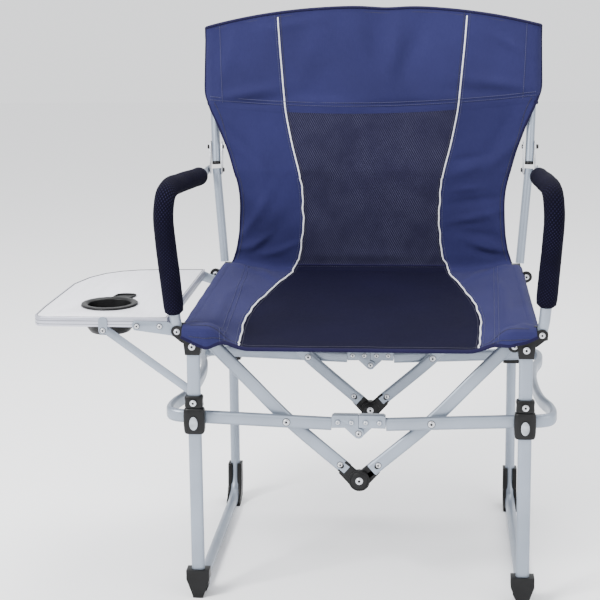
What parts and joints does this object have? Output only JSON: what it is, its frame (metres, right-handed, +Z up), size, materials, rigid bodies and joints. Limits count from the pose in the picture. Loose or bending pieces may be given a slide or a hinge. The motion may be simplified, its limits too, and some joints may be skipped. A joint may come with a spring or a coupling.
{
  "type": "folding camp chair",
  "caption": "Folding director's chair with padded armrests, a sling seat and back, and a fold-down side table with a cup holder.",
  "frame": {"origin": "On the floor, under the middle of the whole outline.", "axes": "+Z is up, the chair faces -Y, and +X is to the right as seen from the front; the side table is on the -X side."},
  "size_m": [0.8494, 0.5928, 0.948],
  "materials": {
    "frame_silver": "satin silver paint",
    "black_plastic": "moulded, slightly grained",
    "bright_steel": "pressed, bright zinc",
    "sleeve_fabric": "padded knit with light flecks",
    "fabric_navy": "woven polyester",
    "mesh_navy": "coarse knitted mesh with light flecks",
    "fabric_blue": "woven polyester",
    "table_white": "smooth laminate",
    "table_aluminium": "extruded, two grooves"
  },
  "bodies": {
    "side_l": {"front_leg_l": "frame_silver", "rear_leg_l": "frame_silver", "foot_l": "black_plastic", "bend_guard_l": "black_plastic", "front_hub_l": "black_plastic", "rear_hub_l": "black_plastic", "seat_rail_l": "frame_silver", "stop_clamp_l": "black_plastic", "armrest_tube_l": "frame_silver", "armrest_sleeve_l": "sleeve_fabric", "back_post_l": "frame_silver", "seat_sling": "fabric_navy", "back_sling_lower": "mesh_navy"},
    "slider_l": {"front_slider_l": "black_plastic", "rear_slider_l": "black_plastic", "slider_button_l": "frame_silver"},
    "bar_l": {"ring_tube_l": "frame_silver", "front_bracket_l": "frame_silver", "rear_bracket_l": "frame_silver"},
    "arm_l": {"front_arm_l": "frame_silver", "rear_arm_l": "frame_silver", "front_knuckle_l": "black_plastic", "rear_knuckle_l": "black_plastic"},
    "bar_r": {"ring_tube_r": "frame_silver", "front_bracket_r": "frame_silver", "rear_bracket_r": "frame_silver"},
    "arm_r": {"front_arm_r": "frame_silver", "rear_arm_r": "frame_silver", "front_knuckle_r": "black_plastic", "rear_knuckle_r": "black_plastic"},
    "slider_r": {"front_slider_r": "black_plastic", "rear_slider_r": "black_plastic", "slider_button_r": "frame_silver"},
    "side_r": {"front_leg_r": "frame_silver", "rear_leg_r": "frame_silver", "foot_r": "black_plastic", "bend_guard_r": "black_plastic", "front_hub_r": "black_plastic", "rear_hub_r": "black_plastic", "seat_rail_r": "frame_silver", "stop_clamp_r": "black_plastic", "armrest_tube_r": "frame_silver", "armrest_sleeve_r": "sleeve_fabric", "back_post_r": "frame_silver"},
    "back_l": {"back_tube_l": "frame_silver", "tube_plug_l": "black_plastic", "hinge_plate_outer_l": "bright_steel", "hinge_plate_inner_l": "bright_steel", "back_sling_upper": "fabric_blue"},
    "back_r": {"back_tube_r": "frame_silver", "tube_plug_r": "black_plastic", "hinge_plate_outer_r": "bright_steel", "hinge_plate_inner_r": "bright_steel"},
    "table": {"table_top": "table_white", "table_edge": "table_aluminium", "cup_holder": "black_plastic", "table_bracket_front": "bright_steel", "table_bracket_rear": "bright_steel"},
    "strut": {"table_strut": "frame_silver"}
  },
  "joints": [
    {"name": "slider_l_slide", "type": "slide", "parent": "side_l", "child": "slider_l", "axis": [0, 0, -1], "range_m": [0, 0.2072]},
    {"name": "width_fold", "type": "hinge", "parent": "slider_l", "child": "bar_l", "pos_m": [-0.1637, -0.24019, 0.3195], "axis": [0, -1, 0], "range_deg": [0, 75], "deforming": ["seat_sling", "back_sling_lower", "back_sling_upper"]},
    {"name": "arm_l_cross", "type": "hinge", "parent": "bar_l", "child": "arm_l", "pos_m": [-0.0157, -0.22739, 0.298], "axis": [0, -1, 0], "range_deg": [-107, 0]},
    {"name": "bar_centre", "type": "hinge", "parent": "bar_l", "child": "bar_r", "pos_m": [0.1013, -0.24019, 0.281], "axis": [0, 1, 0], "range_deg": [0, 150.5]},
    {"name": "arm_r_cross", "type": "hinge", "parent": "bar_r", "child": "arm_r", "pos_m": [0.2183, -0.22739, 0.298], "axis": [0, 1, 0], "range_deg": [-107, 0]},
    {"name": "bar_r_hub", "type": "hinge", "parent": "bar_r", "child": "slider_r", "pos_m": [0.3663, -0.24019, 0.3195], "axis": [0, -1, 0], "range_deg": [0, 75.5]},
    {"name": "slider_r_slide", "type": "slide", "parent": "slider_r", "child": "side_r", "axis": [0, 0, 1], "range_m": [0, 0.2072]},
    {"name": "back_fold", "type": "hinge", "parent": "side_l", "child": "back_l", "pos_m": [-0.1917, 0.23661, 0.645], "axis": [1, 0, 0], "range_deg": [0, 80]},
    {"name": "back_r_fold", "type": "hinge", "parent": "side_r", "child": "back_r", "pos_m": [0.3943, 0.23661, 0.645], "axis": [1, 0, 0], "range_deg": [0, 80.5]},
    {"name": "table_fold", "type": "hinge", "parent": "side_l", "child": "table", "pos_m": [-0.1877, -0.26039, 0.451], "axis": [0, -1, 0], "range_deg": [0, 60]},
    {"name": "strut_swing", "type": "hinge", "parent": "table", "child": "strut", "pos_m": [-0.3087, -0.24489, 0.449], "axis": [0, -1, 0], "range_deg": [-113, 0]}
  ],
  "couplings": [
    {"joint": "slider_l_slide", "follows": "width_fold", "m_per_rad": 0.15791},
    {"joint": "arm_l_cross", "follows": "width_fold", "ratio": -1.4188},
    {"joint": "bar_centre", "follows": "width_fold", "ratio": 2},
    {"joint": "arm_r_cross", "follows": "width_fold", "ratio": -1.4188},
    {"joint": "bar_r_hub", "follows": "width_fold", "ratio": 1},
    {"joint": "slider_r_slide", "follows": "width_fold", "m_per_rad": 0.15791},
    {"joint": "back_r_fold", "follows": "back_fold", "ratio": 1},
    {"joint": "strut_swing", "follows": "table_fold", "ratio": -1.878}
  ]
}
